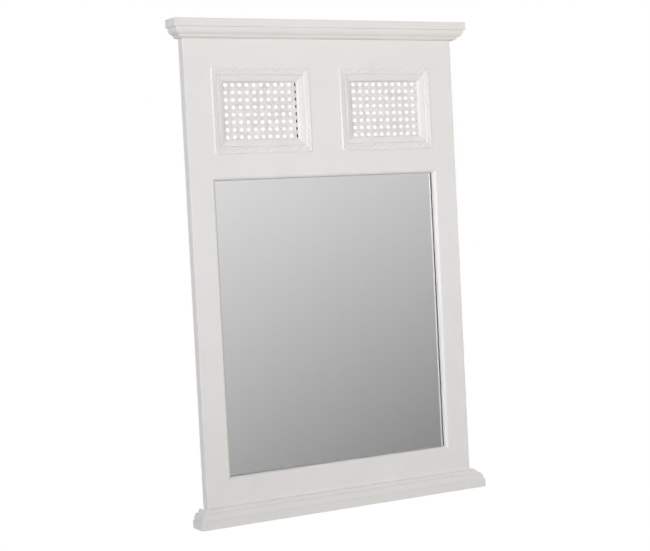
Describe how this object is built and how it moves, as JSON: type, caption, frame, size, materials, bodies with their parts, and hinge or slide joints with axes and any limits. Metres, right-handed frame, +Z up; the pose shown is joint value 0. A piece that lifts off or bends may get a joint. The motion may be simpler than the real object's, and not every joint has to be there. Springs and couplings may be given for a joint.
{
  "type": "wall mirror",
  "caption": "White painted wooden wall mirror with a moulded cornice and plinth, and a head board with carved windows of woven cane above the mirror plate.",
  "frame": {"origin": "on the back face of the frame, half way across, level with the hooks in the raised hanging rings and with the windows' centres", "axes": "+Z up, +X to the right seen from the front, the front faces -Y, +Y is the back face's outward normal"},
  "size_m": [0.5698, 0.0424, 0.842],
  "materials": {
    "white_paint": "satin paint",
    "white_cane": "painted weave",
    "bare_pine": "sawn",
    "silvered_glass": "polished",
    "hardboard": "matte",
    "zinc_steel": "zinc plated",
    "beech": "turned",
    "felt_grey": "matte"
  },
  "bodies": {
    "frame": {"left_stile": "white_paint", "right_stile": "white_paint", "head_board": "white_paint", "bottom_rail": "white_paint", "cornice_cap": "white_paint", "cornice_moulding_front": "white_paint", "cornice_return_left": "white_paint", "cornice_return_right": "white_paint", "plinth_base": "white_paint", "plinth_moulding_front": "white_paint", "plinth_return_left": "white_paint", "plinth_return_right": "white_paint", "left_window_moulding_top": "white_paint", "left_window_moulding_bottom": "white_paint", "left_window_moulding_left": "white_paint", "left_window_moulding_right": "white_paint", "right_window_moulding_top": "white_paint", "right_window_moulding_bottom": "white_paint", "right_window_moulding_left": "white_paint", "right_window_moulding_right": "white_paint", "left_cane_panel": "white_cane", "right_cane_panel": "white_cane", "left_window_batten_top": "bare_pine", "left_window_batten_bottom": "bare_pine", "left_window_batten_left": "bare_pine", "left_window_batten_right": "bare_pine", "right_window_batten_top": "bare_pine", "right_window_batten_bottom": "bare_pine", "right_window_batten_left": "bare_pine", "right_window_batten_right": "bare_pine", "mirror_glass": "silvered_glass", "backing_board": "hardboard", "backing_points": "zinc_steel", "plinth_screws": "zinc_steel", "hanger_screws": "zinc_steel", "left_hanger_strap": "zinc_steel", "right_hanger_strap": "zinc_steel", "frame_dowels": "beech", "cornice_dowels": "beech", "left_wall_bumper": "felt_grey", "right_wall_bumper": "felt_grey"},
    "left_ring": {"left_hanger_ring": "zinc_steel"},
    "right_ring": {"right_hanger_ring": "zinc_steel"}
  },
  "joints": [
    {"name": "left_ring_hinge", "type": "hinge", "parent": "frame", "child": "left_ring", "pos_m": [-0.23975, 0.0023, -0.01675], "axis": [-1, 0, 0], "range_deg": [-2, 176]},
    {"name": "right_ring_hinge", "type": "hinge", "parent": "frame", "child": "right_ring", "pos_m": [0.23975, 0.0023, -0.01675], "axis": [-1, 0, 0], "range_deg": [-2, 176]}
  ]
}
